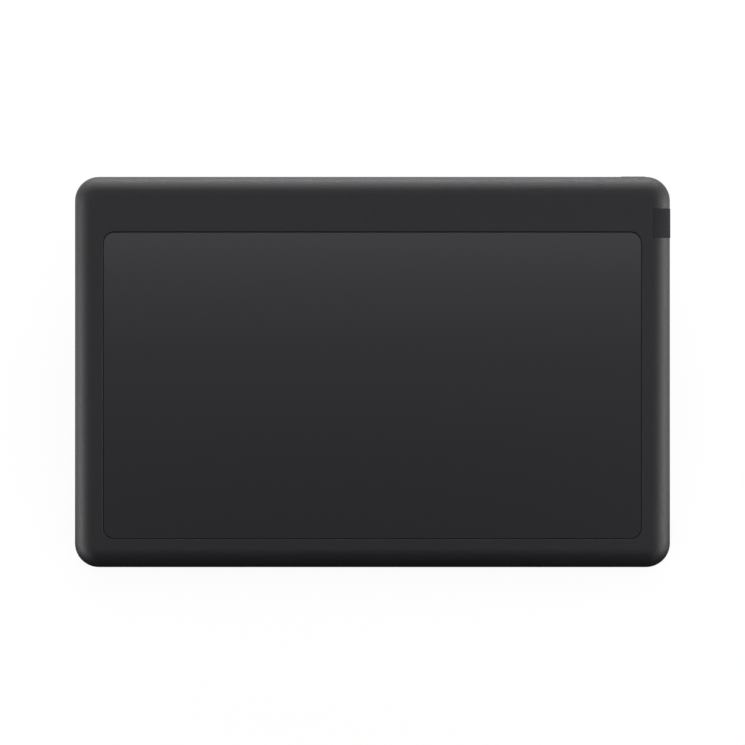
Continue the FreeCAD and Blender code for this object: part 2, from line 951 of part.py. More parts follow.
def light_pipe():
    """Clear rod that brings the lamp's light to the top edge, with a collar inside."""
    x = button_x - light_pipe_offset
    start = switch_board_y()[1] + status_lamp_height + slip
    pipe = rod_y(x, (start, half_height + light_pipe_proud), button_z, light_pipe_radius)
    inner_face = half_height - wall
    collar = rod_y(x, (inner_face - collar_length, inner_face), button_z, collar_radius)
    return joined([pipe, collar])


def shoulder_band(inner, outer, lowest, y_span):
    """Band that rises up the right side wall and round the shoulder."""
    centre_x = half_width - shoulder_radius
    turn = math.radians(loop_sweep)
    middle = turn / 2

    def on_arc(radius, angle):
        return Vector(centre_x + radius * math.cos(angle), y_span[0], parting_z + radius * math.sin(angle))

    low_in = Vector(centre_x + inner, y_span[0], lowest)
    low_out = Vector(centre_x + outer, y_span[0], lowest)
    edges = [
        Part.LineSegment(low_out, on_arc(outer, 0)).toShape(),
        Part.Arc(on_arc(outer, 0), on_arc(outer, middle), on_arc(outer, turn)).toShape(),
        Part.LineSegment(on_arc(outer, turn), on_arc(inner, turn)).toShape(),
        Part.Arc(on_arc(inner, turn), on_arc(inner, middle), on_arc(inner, 0)).toShape(),
        Part.LineSegment(on_arc(inner, 0), low_in).toShape(),
        Part.LineSegment(low_in, low_out).toShape(),
    ]
    return Part.Face(Part.Wire(edges)).extrude(Vector(0, y_span[1] - y_span[0], 0))


def loop_groove():
    """Shallow bed in both covers that the pen loop lies in."""
    inner = shoulder_radius + loop_proud - loop_thickness - loop_gap
    return shoulder_band(inner, shoulder_radius + 2, loop_slot_z, around(loop_y, loop_width + 2 * loop_gap))


def pen_loop():
    """Pen loop of black webbing, pressed flat: its visible band and its tail in the slot."""
    outer = shoulder_radius + loop_proud
    y_span = around(loop_y, loop_width)
    band = shoulder_band(outer - loop_thickness, outer, loop_slot_z - loop_thickness / 2, y_span)
    edge_x = half_width + loop_proud
    tail = block((edge_x - loop_tail - loop_thickness, edge_x), y_span, around(loop_slot_z, loop_thickness))
    return joined([band, tail])


def anchor_form(gap):
    """Bar inside the case; a gap makes it the bed that holds the bar."""
    end = half_width + loop_proud - loop_tail - loop_thickness
    return block(
        (end - anchor_size[0] - gap, end + gap),
        around(loop_y, anchor_size[1] + 2 * gap),
        around(loop_slot_z, anchor_size[2] + 2 * gap),
    )


def pen_loop_anchor():
    """Plastic bar inside the case that the webbing is sewn to."""
    return anchor_form(0)


def front_foot_form(side, gap):
    """Bar that follows the flat back and the lower bevel; a gap makes it the foot's recess."""
    edge = -half_height + bevel_run
    low = -half_height + front_foot_edge - gap
    high = edge + front_foot_flat + gap
    rise = (edge - low) * slope
    proud = foot_proud if gap == 0 else 3 * foot_proud
    slant = 1 / math.cos(math.radians(tilt))
    turn = proud * math.tan(math.radians(tilt) / 2)
    sunk_turn = foot_recess * math.tan(math.radians(tilt) / 2)
    points = (
        (low, rise - proud * slant),
        (edge - turn, -proud),
        (high, -proud),
        (high, foot_recess),
        (edge + sunk_turn, foot_recess),
        (low, rise + foot_recess * slant),
    )
    x_span = around(side * leg_spacing / 2, front_foot_length + 2 * gap)
    bar = side_profile(points, x_span)
    plan = rounded_block(x_span, (low, high), front_foot_radius + gap, (-3 * proud, case_depth))
    return bar.common(plan)


def outer_edges(shape, planes):
    """Edges that lie in any of the given planes, each a point and a normal."""

    def lies_in(edge, point, normal):
        return all(abs(v.Point.sub(point).dot(normal)) < 1e-6 for v in edge.Vertexes)

    return [e for e in shape.Edges if any(lies_in(e, point, normal) for point, normal in planes)]


def front_foot(side):
    """Rubber foot on the flat back and the lower bevel, with a rounded rim."""
    foot = front_foot_form(side, 0).Solids[0]
    crease_y = -half_height + bevel_run - foot_proud * math.tan(math.radians(tilt) / 2)
    crease = Vector(0, crease_y, -foot_proud)
    down = Vector(0, 0, -1)
    planes = ((crease, down), (crease, FreeCAD.Rotation(Vector(1, 0, 0), -tilt).multVec(down)))
    return foot.makeFillet(foot_edge, outer_edges(foot, planes))


def leg_place(u, t):
    """(y, z) place in the folded leg: u along the leg from the hinge, t across it."""
    return (hinge_y - u, hinge_z + t)


def leg_end():
    """Length of the hard part of the leg from the hinge."""
    return leg_reach - leg_foot_depth


def folded_leg(side):
    """Leg as it lies folded in its pocket."""
    middle = side * leg_spacing / 2
    x_span = around(middle, leg_width)
    plate_y = (hinge_y - leg_end(), hinge_y + leg_corner)
    plate = rounded_block(x_span, plate_y, leg_corner, (0, leg_thickness))
    plate = plate.makeFillet(leg_edge, level_edges(plate, 0))
    beyond_hinge = (hinge_y, hinge_y + 2 * leg_corner)
    plate = plate.cut(block(inset(x_span, -1), beyond_hinge, (-1, leg_thickness + 1)))
    barrel_x = inset(x_span, ear_width + 2 * ear_gap)
    solid = joined([plate, rod_x(barrel_x, hinge_y, hinge_z, barrel_radius)])
    notch = barrel_radius + ear_gap
    cuts = [
        block((x_span[0] - 1, barrel_x[0]), (hinge_y - notch, hinge_y + notch), (-1, leg_thickness + 1)),
        block((barrel_x[1], x_span[1] + 1), (hinge_y - notch, hinge_y + notch), (-1, leg_thickness + 1)),
        rod_x(inset(x_span, -1), hinge_y, hinge_z, pin_radius + pin_running_gap),
    ]
    wrap_y = (hinge_y - leg_reach - leg_foot_wrap, hinge_y - leg_end() + leg_foot_wrap)
    cuts.append(block(inset(x_span, -1), wrap_y, (-1, foot_recess)))
    cuts += leg_hollows(x_span)
    return solid.cut(Part.makeCompound(cuts))


def leg_hollows(x_span):
    """Hollows in the leg's inner face, with ribs between them."""
    columns = 3
    near = hinge_y - barrel_radius - 4 * leg_rib
    far = hinge_y - leg_end() + leg_rib
    inner_x = inset(x_span, leg_rib)
    width = (inner_x[1] - inner_x[0] - (columns - 1) * leg_rib) / columns
    hollows = []
    for column in range(columns):
        start = inner_x[0] + column * (width + leg_rib)
        hollow_z = (leg_skin, leg_thickness + 1)
        hollows.append(rounded_block((start, start + width), (far, near), leg_rib, hollow_z))
    return hollows


def folded_leg_foot(side):
    """Rubber end of the leg: its slanted end meets the desk, its pad the desk when folded."""
    half = leg_thickness / 2
    end = leg_end()
    section = (
        leg_place(end, half),
        leg_place(leg_reach - half * slope, half),
        leg_place(leg_reach + (half + foot_proud) * slope, -half - foot_proud),
        leg_place(end - leg_foot_wrap, -half - foot_proud),
        leg_place(end - leg_foot_wrap, -half + foot_recess),
        leg_place(end, -half + foot_recess),
    )
    x_span = around(side * leg_spacing / 2, leg_width)
    plan_y = (hinge_y - tip_reach, hinge_y)
    plan = rounded_block(x_span, plan_y, leg_corner, (-3 * foot_proud, leg_thickness + 1))
    foot = side_profile(section, x_span).common(plan).Solids[0]
    pad = (Vector(0, hinge_y, -foot_proud), Vector(0, 0, -1))
    sole = (Vector(0, hinge_y - leg_reach, hinge_z), Vector(0, -1, slope))
    return foot.makeFillet(foot_edge, outer_edges(foot, (pad, sole)))


def unfold(shape):
    """Turn a folded piece about its hinge to the open position."""
    turned = shape.copy()
    turned.rotate(Vector(0, hinge_y, hinge_z), Vector(1, 0, 0), 90)
    return turned


def leg_bracket(side):
    """Steel hinge bracket: plate on the chassis, two ears for the pin and the stop tab."""
    middle = side * leg_spacing / 2
    x_span = inset(pocket_x(side), -bracket_lap)
    far = pocket_y[1] + pocket_wall + 2 * head_radius + 2 * bracket_screw_gap
    parts = [block(x_span, (window_y()[0] - bracket_lap, far), (bracket_back, chassis_back))]
    ear_radius = barrel_radius - ear_gap
    for end in (-1, 1):
        ear_x = around(middle + end * (leg_width - ear_width) / 2, ear_width - ear_gap)
        parts.append(rod_x(ear_x, hinge_y, hinge_z, ear_radius))
        parts.append(block(ear_x, around(hinge_y, 2 * ear_radius), (hinge_z, chassis_back)))
    stop_y = hinge_y + barrel_radius + stop_gap
    stop_top = (stop_y, stop_y + bracket_sheet - slip)
    parts.append(block(around(middle, stop_width), stop_top, (foot_recess, chassis_back)))
    bracket = joined(parts)
    cuts = [rod_x(inset(x_span, -1), hinge_y, hinge_z, pin_radius + pin_seat_gap)]
    for x, y in bracket_screw_places():
        cuts.append(post(x, y, (bracket_back - 1, chassis_back + 1), shank_radius + through_gap))
    return bracket.cut(Part.makeCompound(cuts))


def leg_pin(side):
    """Hinge pin from ear to ear."""
    middle = side * leg_spacing / 2
    return rod_x(around(middle, leg_width - ear_gap), hinge_y, hinge_z, pin_radius)


def leg_spring(side):
    """Leaf spring under the bracket that drags on the leg's barrel."""
    fixed = window_y()[0] + spring_start
    bend = fixed + spring_flat
    nose_z = leg_thickness + stop_gap
    nose_y = (hinge_y - spring_nose, hinge_y + 2 * spring_nose)
    points = (
        (fixed, bracket_back - spring_sheet),
        (fixed, bracket_back),
        (bend, bracket_back),
        (nose_y[0], nose_z + spring_sheet),
        (nose_y[1], nose_z + 2 * spring_sheet),
        (nose_y[1], nose_z + spring_sheet),
        (nose_y[0], nose_z),
        (bend, bracket_back - spring_sheet),
    )
    return side_profile(points, around(side * leg_spacing / 2, spring_width))


def nib_centre():
    return (-leg_spacing / 2, (window_y()[0] + pocket_y[0]) / 2)


def nib_window():
    """Opening in the left pocket's ceiling for the nib holder."""
    x, y = nib_centre()
    return rounded_block(
        around(x, nib_holder_size[0] + 2 * slip),
        around(y, nib_holder_size[1] + 2 * slip),
        nib_holder_radius,
        (ceiling_z - 1, bracket_back + 1),
    )


def nib_seats():
    """Centres of the nibs in their holder."""
    x, y = nib_centre()
    first = x - nib_holder_size[0] / 4 - (nib_count - 1) / 2 * nib_pitch
    return [(first + k * nib_pitch, y) for k in range(nib_count)]


def ring_seat():
    x, y = nib_centre()
    return (x + nib_holder_size[0] / 4, y)


def nib_holder():
    """Plastic holder for three nibs and the ring that pulls them."""
    x, y = nib_centre()
    x_span = around(x, nib_holder_size[0])
    y_span = around(y, nib_holder_size[1])
    core = rounded_block(x_span, y_span, nib_holder_radius - slip, (ceiling_z, chassis_back))
    flange = rounded_block(
        inset(x_span, -nib_flange),
        inset(y_span, -nib_flange),
        2 * nib_holder_radius,
        (bracket_back, bracket_back + nib_flange_thickness),
    )
    holder = joined([core, flange])
    groove = 2 * (nib_radius + nib_gap)
    for seat_x, seat_y in nib_seats():
        seat_span = around(seat_y, nib_length + 2 * nib_gap)
        holder = holder.cut(block(around(seat_x, groove), seat_span, (ceiling_z - 1, ceiling_z + groove)))
    seat_x, seat_y = ring_seat()
    seat_z_span = (ceiling_z - 1, ceiling_z + ring_height + nib_gap)
    return holder.cut(post(seat_x, seat_y, seat_z_span, ring_outer + nib_gap))


def spare_nibs():
    """Three spare nibs, each with a rounded tip."""
    nibs = []
    z = ceiling_z + nib_radius + nib_gap
    for x, y in nib_seats():
        span = around(y, nib_length)
        stick = rod_y(x, (span[0], span[1] - nib_radius), z, nib_radius)
        tip = Part.makeSphere(nib_radius, Vector(x, span[1] - nib_radius, z))
        nibs.append(joined([stick, tip]))
    return Part.makeCompound(nibs)


def nib_ring():
    """Flat ring that grips a worn nib."""
    x, y = ring_seat()
    z_span = (ceiling_z, ceiling_z + ring_height)
    return post(x, y, z_span, ring_outer).cut(post(x, y, (z_span[0] - 1, z_span[1] + 1), ring_inner))


def case_screws():
    return Part.makeCompound(
        [screw(x, y, head_seat, case_screw_length, head_height) for x, y in case_screw_places()]
    )


def chassis_screws():
    return Part.makeCompound(
        [screw(x, y, chassis_back, short_screw_length, low_head) for x, y in chassis_screw_places()]
    )


def bracket_screws():
    length = bracket_sheet + chassis_thickness
    return Part.makeCompound(
        [screw(x, y, bracket_back, length, low_head) for x, y in bracket_screw_places()]
    )


def board_screws():
    length = board_thickness + standoff_height
    return Part.makeCompound(
        [screw(x, y, board_back, length, low_head) for x, y in standoff_places()]
    )


def desk_shift():
    """Move that centres the tilted display on the origin and puts its feet on the desk."""
    c = math.cos(math.radians(tilt))
    s = math.sin(math.radians(tilt))
    front = -(half_height - shoulder_radius) * c - parting_z * s - shoulder_radius
    back = half_height * c - bevel_rise * s
    return Vector(0, -(front + back) / 2, -desk_level)


def stand_on_desk(shape):
    """Tilt a piece to the working angle and stand it on the desk."""
    placed = shape.copy()
    placed.rotate(Vector(0, 0, 0), Vector(1, 0, 0), tilt)
    placed.translate(desk_shift())
    return placed


def desk_point(x, y, z):
    """Place on the desk of a point given in the display's own frame."""
    return FreeCAD.Rotation(Vector(1, 0, 0), tilt).multVec(Vector(x, y, z)).add(desk_shift())


def all_pieces():
    """Every piece by name."""
    pieces = {
        "front_cover": front_cover(),
        "rear_cover": rear_cover(),
        "cover_glass": cover_glass(),
        "glass_seal": glass_seal(),
        "optical_bond": display_sheet(0, (seat_z, glass_back)),
        "lcd_panel": display_sheet(0, (cell_back, seat_z)),
        "diffuser_films": display_sheet(slip, (film_back, cell_back)),
        "light_guide": light_guide(),
        "led_bar": led_bar(),
        "reflector_sheet": display_sheet(-slip, (reflector_back, guide_back)),
        "backlight_tray": backlight_tray(),
        "pen_sensor_board": pen_sensor_board(),
        "sensor_shield": display_sheet(0, (shield_back, sensor_back)),
        "chassis": chassis(),
        "main_board": main_board(),
        "board_chips": board_chips(),
        "board_sockets": board_sockets(),
        "display_cable": display_cable(),
        "sensor_cable": sensor_cable(),
        "cable_port_shell": cable_port_shell(),
        "cable_port_tongue": cable_port_tongue(),
        "stand_inserts": stand_inserts(),
        "power_button": power_button(),
        "switch_plunger": switch_plunger(),
        "power_switch": power_switch(),
        "switch_board": switch_board(),
        "status_lamp": status_lamp(),
        "light_pipe": light_pipe(),
        "pen_loop": pen_loop(),
        "pen_loop_anchor": pen_loop_anchor(),
        "nib_holder": nib_holder(),
        "spare_nibs": spare_nibs(),
        "nib_ring": nib_ring(),
        "case_screws": case_screws(),
        "chassis_screws": chassis_screws(),
        "bracket_screws": bracket_screws(),
        "board_screws": board_screws(),
    }
    for name, side in SIDES:
        pieces[name + "_leg"] = unfold(folded_leg(side))
        pieces[name + "_leg_foot"] = unfold(folded_leg_foot(side))
        pieces[name + "_leg_bracket"] = leg_bracket(side)
        pieces[name + "_leg_pin"] = leg_pin(side)
        pieces[name + "_leg_spring"] = leg_spring(side)
        pieces["front_" + name + "_foot"] = front_foot(side)
    return pieces


def show_place(name, point):
    print(name, "in metres:", [round(value / 1000, 6) for value in point])


os.makedirs("parts", exist_ok=True)
finished = {name: stand_on_desk(shape) for name, shape in all_pieces().items()}
for name, shape in finished.items():
    shape.exportStep(os.path.join("parts", name + ".step"))
    print(name, len(shape.Solids), "solids", round(shape.Volume / 1000, 2), "cm3", shape.isValid())

show_place("left hinge", desk_point(-leg_spacing / 2, hinge_y, hinge_z))
show_place("right hinge", desk_point(leg_spacing / 2, hinge_y, hinge_z))
show_place("power button", desk_point(button_x, half_height, button_z))
show_place("stand inserts", desk_point(0, insert_y, 0))
show_place("leg foot on the desk", desk_point(leg_spacing / 2, hinge_y, hinge_z - leg_reach))
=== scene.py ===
import json
import math

import bpy
from mathutils import Matrix, Vector


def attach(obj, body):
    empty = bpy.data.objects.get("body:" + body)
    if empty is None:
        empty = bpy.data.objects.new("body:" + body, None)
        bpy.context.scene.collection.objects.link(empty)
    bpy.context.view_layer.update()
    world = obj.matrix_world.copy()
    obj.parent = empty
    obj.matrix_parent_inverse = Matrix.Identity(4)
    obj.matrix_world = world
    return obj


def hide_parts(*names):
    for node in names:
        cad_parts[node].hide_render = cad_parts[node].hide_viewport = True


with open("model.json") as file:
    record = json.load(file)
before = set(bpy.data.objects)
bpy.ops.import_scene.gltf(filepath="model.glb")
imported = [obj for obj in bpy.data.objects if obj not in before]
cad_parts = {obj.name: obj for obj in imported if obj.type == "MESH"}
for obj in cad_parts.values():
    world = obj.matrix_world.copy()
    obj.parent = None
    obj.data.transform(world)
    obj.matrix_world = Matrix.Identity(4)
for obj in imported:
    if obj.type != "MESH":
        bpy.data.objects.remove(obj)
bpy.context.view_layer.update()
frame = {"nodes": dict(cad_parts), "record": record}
record = frame["record"]
nodes = frame["nodes"]

# The display's own frame, in millimetres: x to the right, y towards the top edge, z out of the
# glass, from the middle of the flat back. The middle of the stand inserts is 10 mm below it.

MM = 0.001
TILT = math.radians(19.0)
INSERT_Y = -10.0
RIGHT = Vector((1, 0, 0))
UP = Vector((0, math.cos(TILT), math.sin(TILT)))
OUT = Vector((0, -math.sin(TILT), math.cos(TILT)))
inserts = next(m for m in record["mounts"] if m["name"] == "stand_inserts")
ORIGIN = Vector(inserts["pos_m"]) - UP * INSERT_Y * MM

HALF_WIDTH = 211.0
HALF_HEIGHT = 138.4
FRONT_Z = 22.0
SHOULDER = 12.7
PARTING_Z = FRONT_Z - SHOULDER


def place(x, y, z):
    """Point of the display's own frame, in the scene's metres."""
    return ORIGIN + (RIGHT * x + UP * y + OUT * z) * MM


def display_matrix(x, y, z):
    """Frame whose axes are the display's own, at a point of it."""
    matrix = Matrix((RIGHT, UP, OUT)).transposed().to_4x4()
    matrix.translation = place(x, y, z)
    return matrix


def link(name, data):
    """New object of the scene with the given mesh, lamp or camera."""
    obj = bpy.data.objects.new(name, data)
    bpy.context.scene.collection.objects.link(obj)
    return obj


# Material tools

NOISE_LOW = 0.35
NOISE_HIGH = 0.65
GRAIN_DETAIL = 3.0
GRAIN_ROUGHNESS = 0.6
METAL_DETAIL = 4.0


def new_material(name):
    """Material with its node tree and its principled shader."""
    material = bpy.data.materials.new(name)
    material.use_nodes = True
    tree = material.node_tree
    shader = tree.nodes["Principled BSDF"]
    return material, tree, shader


def add(tree, kind, **values):
    """Node of the given kind with its plain settings and inputs filled in."""
    node = tree.nodes.new(kind)
    for key, value in values.items():
        if key in node.inputs:
            node.inputs[key].default_value = value
        else:
            setattr(node, key, value)
    return node


def grain(tree, size_mm):
    """Fine noise whose grains are about the given size."""
    coords = tree.nodes.new("ShaderNodeTexCoord")
    scale = 1.0 / (size_mm * MM)
    noise = add(tree, "ShaderNodeTexNoise", Scale=scale, Detail=GRAIN_DETAIL, Roughness=GRAIN_ROUGHNESS)
    tree.links.new(coords.outputs["Object"], noise.inputs["Vector"])
    return noise.outputs["Fac"]


def brushed_grain(tree, size_mm, stretch):
    """Fine noise drawn out along the axes where stretch is below 1."""
    coords = tree.nodes.new("ShaderNodeTexCoord")
    mapping = add(tree, "ShaderNodeMapping", Scale=stretch)
    noise = add(tree, "ShaderNodeTexNoise", Scale=1.0 / (size_mm * MM), Detail=METAL_DETAIL)
    tree.links.new(coords.outputs["Object"], mapping.inputs["Vector"])
    tree.links.new(mapping.outputs["Vector"], noise.inputs["Vector"])
    return noise.outputs["Fac"]


def bump(tree, texture, shader, depth_mm):
    """Bump of a given depth on the shader."""
    node = add(tree, "ShaderNodeBump", Strength=1.0, Distance=depth_mm * MM)
    tree.links.new(texture, node.inputs["Height"])
    tree.links.new(node.outputs["Normal"], shader.inputs["Normal"])


def shade_range(tree, texture, shader, low, high):
    """Base colour that goes from low to high with the texture."""
    ramp = tree.nodes.new("ShaderNodeValToRGB")
    first, last = ramp.color_ramp.elements
    first.position = NOISE_LOW
    first.color = (*low, 1)
    last.position = NOISE_HIGH
    last.color = (*high, 1)
    tree.links.new(texture, ramp.inputs["Fac"])
    tree.links.new(ramp.outputs["Color"], shader.inputs["Base Color"])


def rough_range(tree, texture, shader, low, high, span=(0.0, 1.0)):
    """Roughness that goes from low to high over a span of the texture's values."""
    scale = tree.nodes.new("ShaderNodeMapRange")
    scale.inputs["From Min"].default_value = span[0]
    scale.inputs["From Max"].default_value = span[1]
    scale.inputs["To Min"].default_value = low
    scale.inputs["To Max"].default_value = high
    tree.links.new(texture, scale.inputs["Value"])
    tree.links.new(scale.outputs["Result"], shader.inputs["Roughness"])


# Materials

PLASTIC_DARKEST = 0.8
PLASTIC_LIGHTEST = 1.25
PLASTIC_SPREAD = 0.06
METAL_DARKEST = 0.85
METAL_SPREAD = 0.08


def grained_plastic(name, colour, roughness, specular, grain_mm, depth_mm):
    """Moulded plastic with a fine spark-eroded grain."""
    material, tree, shader = new_material(name)
    texture = grain(tree, grain_mm)
    darker = [c * PLASTIC_DARKEST for c in colour]
    lighter = [c * PLASTIC_LIGHTEST for c in colour]
    shade_range(tree, texture, shader, darker, lighter)
    rough_range(tree, texture, shader, roughness - PLASTIC_SPREAD, roughness + PLASTIC_SPREAD)
    shader.inputs["Specular IOR Level"].default_value = specular
    bump(tree, texture, shader, depth_mm)
    return material


def metal(name, colour, roughness, grain_mm, depth_mm, stretch=(1, 1, 1)):
    """Metal with a fine directional or even grain."""
    material, tree, shader = new_material(name)
    texture = brushed_grain(tree, grain_mm, stretch)
    darker = [c * METAL_DARKEST for c in colour]
    shade_range(tree, texture, shader, darker, colour)
    rough_range(tree, texture, shader, roughness - METAL_SPREAD, roughness + METAL_SPREAD)
    shader.inputs["Metallic"].default_value = 1.0
    bump(tree, texture, shader, depth_mm)
    return material


def moulded_case():
    """Case plastic: its coarse moulded grain shows as mottling where the shoulders shine."""
    material, tree, shader = new_material("case_black")
    texture = grain(tree, size_mm=0.75)
    shade_range(tree, texture, shader, low=(0.00545, 0.00545, 0.0077), high=(0.00615, 0.00615, 0.0087))
    rough_range(tree, texture, shader, low=0.40, high=0.68, span=(NOISE_LOW, NOISE_HIGH))
    bump(tree, texture, shader, depth_mm=0.13)
    return material


def etched_glass():
    """Dark display behind etched cover glass."""
    material, tree, shader = new_material("etched_glass")
    texture = grain(tree, size_mm=0.25)
    shade_range(tree, texture, shader, low=(0.0148, 0.0148, 0.0169), high=(0.0186, 0.0186, 0.0213))
    rough_range(tree, texture, shader, low=0.18, high=0.22)
    bump(tree, texture, shader, depth_mm=0.001)
    return material


def rubber():
    """Black rubber with a dull skin."""
    material, tree, shader = new_material("foot_rubber")
    texture = grain(tree, size_mm=0.6)
    shade_range(tree, texture, shader, low=(0.012, 0.012, 0.012), high=(0.022, 0.022, 0.022))
    rough_range(tree, texture, shader, low=0.75, high=0.9)
    shader.inputs["Specular IOR Level"].default_value = 0.3
    bump(tree, texture, shader, depth_mm=0.03)
    return material


def clear_plastic():
    """Clear moulded plastic."""
    material, tree, shader = new_material("clear_plastic")
    texture = grain(tree, size_mm=2.0)
    shade_range(tree, texture, shader, low=(0.80, 0.84, 0.84), high=(0.86, 0.88, 0.88))
    rough_range(tree, texture, shader, low=0.08, high=0.16)
    shader.inputs["Transmission Weight"].default_value = 0.7
    return material


def circuit_board():
    """Green solder mask with fine lighter tracks."""
    material, tree, shader = new_material("board_green")
    coords = tree.nodes.new("ShaderNodeTexCoord")
    tracks = add(tree, "ShaderNodeTexBrick", Scale=220.0)
    tracks.inputs["Color1"].default_value = (0.012, 0.10, 0.035, 1)
    tracks.inputs["Color2"].default_value = (0.016, 0.12, 0.045, 1)
    tracks.inputs["Mortar"].default_value = (0.03, 0.17, 0.07, 1)
    tracks.inputs["Mortar Size"].default_value = 0.02
    tree.links.new(coords.outputs["Object"], tracks.inputs["Vector"])
    tree.links.new(tracks.outputs["Color"], shader.inputs["Base Color"])
    rough_range(tree, grain(tree, size_mm=1.0), shader, low=0.3, high=0.4)
    return material


def woven_elastic():
    """Black woven elastic."""
    material, tree, shader = new_material("webbing_black")
    texture = grain(tree, size_mm=0.3)
    shade_range(tree, texture, shader, low=(0.013, 0.013, 0.0148), high=(0.024, 0.024, 0.027))
    rough_range(tree, texture, shader, low=0.9, high=1.0)
    shader.inputs["Specular IOR Level"].default_value = 0.05
    shader.inputs["Sheen Weight"].default_value = 0.015
    bump(tree, texture, shader, depth_mm=0.04)
    return material


# Plastics: name, colour, roughness, specular level, grain and its depth in millimetres

BACK = grained_plastic("back_black", (0.0150, 0.0150, 0.0170), 0.58, 0.48, 0.5, 0.05)
INNER = grained_plastic("inner_black", (0.012, 0.012, 0.012), 0.5, 0.4, 0.6, 0.02)
SEAL = grained_plastic("seal_black", (0.006, 0.006, 0.006), 0.8, 0.2, 0.4, 0.01)
WHITE = grained_plastic("film_white", (0.70, 0.70, 0.70), 0.5, 0.4, 0.5, 0.005)
NIB = grained_plastic("nib_white", (0.62, 0.62, 0.60), 0.55, 0.4, 0.2, 0.01)
SOCKET = grained_plastic("socket_white", (0.6, 0.58, 0.52), 0.5, 0.4, 0.3, 0.01)
AMBER = grained_plastic("cable_amber", (0.35, 0.16, 0.03), 0.3, 0.5, 0.8, 0.01)

# Metals: name, colour, roughness, grain and its depth in millimetres, stretch of the grain

STEEL = metal("bracket_steel", (0.36, 0.36, 0.37), 0.42, 0.3, 0.004, (0.08, 1, 1))
BRIGHT = metal("pin_steel", (0.62, 0.62, 0.63), 0.3, 0.2, 0.003, (1, 0.1, 1))
ALLOY = metal("chassis_alloy", (0.5, 0.5, 0.52), 0.5, 0.6, 0.02)
BLACK_STEEL = metal("screw_black", (0.06, 0.06, 0.062), 0.38, 0.25, 0.006)
BRASS = metal("insert_brass", (0.62, 0.44, 0.18), 0.32, 0.25, 0.006)
PLATED = metal("port_metal", (0.66, 0.66, 0.66), 0.22, 0.3, 0.002)

# Case, glass, rubber, clear plastic, circuit board and webbing

CASE = moulded_case()
GLASS = etched_glass()
RUBBER = rubber()
CLEAR = clear_plastic()
BOARD = circuit_board()
WEBBING = woven_elastic()

FINISHES = {
    "front_cover": CASE,
    "rear_cover": BACK,
    "cover_glass": GLASS,
    "glass_seal": SEAL,
    "optical_bond": CLEAR,
    "lcd_panel": GLASS,
    "diffuser_films": WHITE,
    "light_guide": CLEAR,
    "led_bar": WHITE,
    "reflector_sheet": WHITE,
    "backlight_tray": BRIGHT,
    "pen_sensor_board": BOARD,
    "sensor_shield": STEEL,
    "chassis": ALLOY,
    "main_board": BOARD,
    "board_chips": INNER,
    "board_sockets": SOCKET,
    "display_cable": AMBER,
    "sensor_cable": AMBER,
    "cable_port_shell": PLATED,
    "cable_port_tongue": INNER,
    "stand_inserts": BRASS,
    "power_button": CASE,
    "switch_plunger": INNER,
    "power_switch": INNER,
    "switch_board": BOARD,
    "status_lamp": WHITE,
    "light_pipe": CLEAR,
    "pen_loop": WEBBING,
    "pen_loop_anchor": INNER,
    "nib_holder": INNER,
    "spare_nibs": NIB,
    "nib_ring": BRIGHT,
    "case_screws": BLACK_STEEL,
    "chassis_screws": BLACK_STEEL,
    "bracket_screws": BLACK_STEEL,
    "board_screws": BLACK_STEEL,
    "left_leg": BACK,
    "right_leg": BACK,
    "left_leg_foot": RUBBER,
    "right_leg_foot": RUBBER,
    "left_leg_bracket": STEEL,
    "right_leg_bracket": STEEL,
    "left_leg_pin": BRIGHT,
    "right_leg_pin": BRIGHT,
    "left_leg_spring": BRIGHT,
    "right_leg_spring": BRIGHT,
    "front_left_foot": RUBBER,
    "front_right_foot": RUBBER,
}


def dress(name, material):
    """Give a CAD node its finish."""
    slots = nodes[name].data.materials
    if len(slots) == 0:
        slots.append(material)
    for index in range(len(slots)):
        slots[index] = material


for node_name, finish in FINISHES.items():
    dress(node_name, finish)


# Pen loop: a strip of elastic webbing, folded double over the right shoulder

LOOP_WIDTH = 20.6
LOOP_INSET = 33.0
LOOP_Y = HALF_HEIGHT - LOOP_INSET
LOOP_SWEEP = math.radians(86.0)
SLOT_Z = 6.76
SLOT_DEPTH = 4.0
TAPE = 0.5
PROUD = 0.3
BED_DEPTH = 0.8
BED_CLEARANCE = 0.04
OUTER_LAYER = SHOULDER + PROUD - TAPE / 2
INNER_LAYER = SHOULDER - BED_DEPTH + TAPE / 2 + BED_CLEARANCE
OUTER_BEND = 0.9
INNER_BEND = 0.4
STEP = 0.2
FOLD_STEP = 0.06

# Its weave: ribs along the tape, picks across it, and a rolled edge on both sides

RIBS = 22
RIB_POINTS = 5
RIB_HEIGHT = 0.05
PICK = 0.7
PICK_HEIGHT = 0.02
SELVEDGE = 0.33
SELVEDGE_TURNS = (50, 0, -50)


def arc_points(cx, cz, radius, start, end, step=STEP):
    """Points of an arc from one angle to another, the last one left out."""
    count = max(3, round(abs(end - start) * radius / step))
    turns = [start + (end - start) * k / count for k in range(count)]
    return [(cx + radius * math.cos(a), cz + radius * math.sin(a)) for a in turns]


def line_points(start, end):
    """Points of a line, the last one left out."""
    count = max(1, round(math.dist(start, end) / STEP))
    return [
        (start[0] + (end[0] - start[0]) * k / count, start[1] + (end[1] - start[1]) * k / count)
        for k in range(count)
    ]


